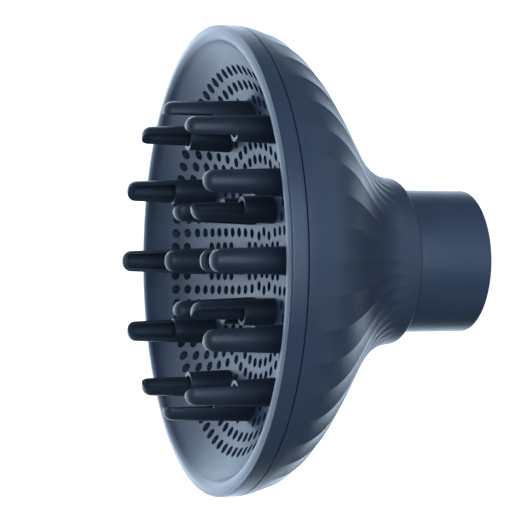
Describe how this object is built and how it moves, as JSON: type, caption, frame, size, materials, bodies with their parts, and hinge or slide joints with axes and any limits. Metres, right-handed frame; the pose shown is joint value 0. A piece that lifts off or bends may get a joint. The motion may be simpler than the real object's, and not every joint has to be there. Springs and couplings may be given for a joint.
{
  "type": "hair dryer diffuser",
  "caption": "Bell-shaped air diffuser for a hair dryer: fluted shell, perforated dish with hollow scoop-cut fingers, and a round swivel neck that grips the dryer's nozzle.",
  "frame": {"origin": "centre of the neck's mouth, on the plane of its end face", "axes": "+Z along the axis from the neck to the fingers; one outer finger stands on -Y, with a flute ridge in line with it; the fingers repeat every 30 degrees about Z"},
  "size_m": [0.15, 0.15, 0.104],
  "materials": {
    "shell_plastic": "slate navy, fine satin grain",
    "dish_plastic": "slate navy, fine matte grain",
    "finger_plastic": "darker navy, soft-touch matte",
    "duct_plastic": "near-black heat-resistant plastic",
    "bearing_plastic": "natural low-friction plastic",
    "gasket_rubber": "soft silicone",
    "spring_steel": "oiled spring steel",
    "screw_steel": "zinc-plated",
    "magnet_plating": "nickel-plated"
  },
  "bodies": {
    "neck": {"neck_sleeve": "shell_plastic", "neck_liner": "duct_plastic", "magnet_holder": "duct_plastic", "magnets": "magnet_plating", "retaining_clip": "spring_steel"},
    "head": {"bell_shell": "shell_plastic", "rim_band": "shell_plastic", "rim_gasket": "gasket_rubber", "front_dish": "dish_plastic", "heat_shield": "duct_plastic", "air_spreader": "duct_plastic", "bearing_ring": "bearing_plastic", "dish_screws": "screw_steel", "spreader_screw": "screw_steel", "outer_prong_01": "finger_plastic", "outer_prong_02": "finger_plastic", "outer_prong_03": "finger_plastic", "outer_prong_04": "finger_plastic", "outer_prong_05": "finger_plastic", "outer_prong_06": "finger_plastic", "outer_prong_07": "finger_plastic", "outer_prong_08": "finger_plastic", "outer_prong_09": "finger_plastic", "outer_prong_10": "finger_plastic", "outer_prong_11": "finger_plastic", "outer_prong_12": "finger_plastic", "inner_prong_01": "finger_plastic", "inner_prong_02": "finger_plastic", "inner_prong_03": "finger_plastic", "inner_prong_04": "finger_plastic", "inner_prong_05": "finger_plastic", "inner_prong_06": "finger_plastic"}
  },
  "joints": [
    {"name": "neck_swivel", "type": "hinge", "parent": "neck", "child": "head", "pos_m": [0, 0, 0.033], "axis": [0, 0, 1], "continuous": true}
  ]
}
